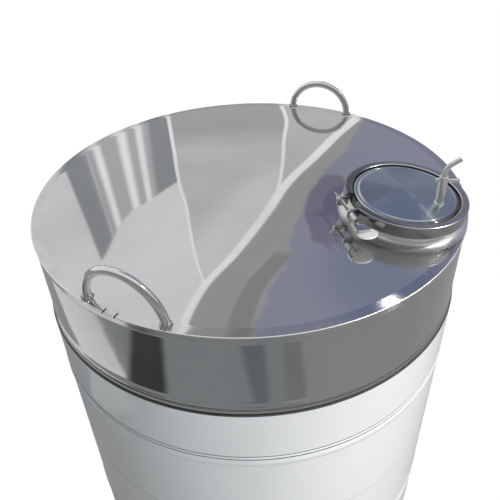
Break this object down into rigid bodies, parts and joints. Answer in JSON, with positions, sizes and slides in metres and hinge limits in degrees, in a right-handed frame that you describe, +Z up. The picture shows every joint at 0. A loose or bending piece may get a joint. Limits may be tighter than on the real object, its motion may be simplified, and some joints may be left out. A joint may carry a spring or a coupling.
{
  "type": "vertical storage tank",
  "caption": "Upright cylindrical stainless storage tank on legs, with a clamped round hatch, carrying handles and a vent on its shallow domed roof.",
  "frame": {"origin": "on the floor, on the tank's axis", "axes": "+Z up along the tank's axis, -Y towards the front, +X towards the side with the hatch"},
  "size_m": [0.8084, 0.8084, 1.3775],
  "materials": {
    "bright_steel": "mirror-polished stainless sheet",
    "white_coat": "glossy white coat on sheet",
    "black_rubber": "matt",
    "spun_steel": "spun, fine circular brushing"
  },
  "bodies": {
    "tank": {"upper_band_front": "bright_steel", "upper_band_right": "bright_steel", "upper_band_back": "bright_steel", "upper_band_left": "bright_steel", "upper_wall_front": "white_coat", "upper_wall_right": "white_coat", "upper_wall_back": "white_coat", "upper_wall_left": "white_coat", "lower_wall_front": "white_coat", "lower_wall_right": "white_coat", "lower_wall_back": "white_coat", "lower_wall_left": "white_coat", "lower_band_front": "bright_steel", "lower_band_right": "bright_steel", "lower_band_back": "bright_steel", "lower_band_left": "bright_steel", "roof": "bright_steel", "bottom": "bright_steel", "outlet_stub": "bright_steel", "hatch_neck": "bright_steel", "handle_front": "bright_steel", "handle_rear": "bright_steel", "leg_front_right": "bright_steel", "leg_back_right": "bright_steel", "leg_back_left": "bright_steel", "leg_front_left": "bright_steel", "foot_front_right": "black_rubber", "foot_back_right": "black_rubber", "foot_back_left": "black_rubber", "foot_front_left": "black_rubber"},
    "hatch": {"hatch_gasket": "black_rubber", "hatch_lid": "spun_steel", "clamp_ring": "bright_steel", "clamp_lug_far": "bright_steel", "clamp_lug_near": "bright_steel", "clamp_bolt": "bright_steel", "clamp_sleeve": "bright_steel", "clamp_block": "bright_steel", "lever_rivet": "bright_steel", "wing_nut": "bright_steel", "vent_pipe": "bright_steel", "vent_nozzle": "bright_steel", "vent_boss": "bright_steel", "vent_spout": "bright_steel"},
    "clamp_lever": {"clamp_lever": "bright_steel"}
  },
  "joints": [
    {"name": "lid_lift", "type": "slide", "parent": "tank", "child": "hatch", "axis": [0.0789, -0.0372, 0.9962], "range_m": [0, 0.15]},
    {"name": "lever_turn", "type": "hinge", "parent": "hatch", "child": "clamp_lever", "pos_m": [0.17303, -0.20476, 1.28622], "axis": [-0.0789, 0.0372, -0.9962], "range_deg": [0, 80]}
  ]
}
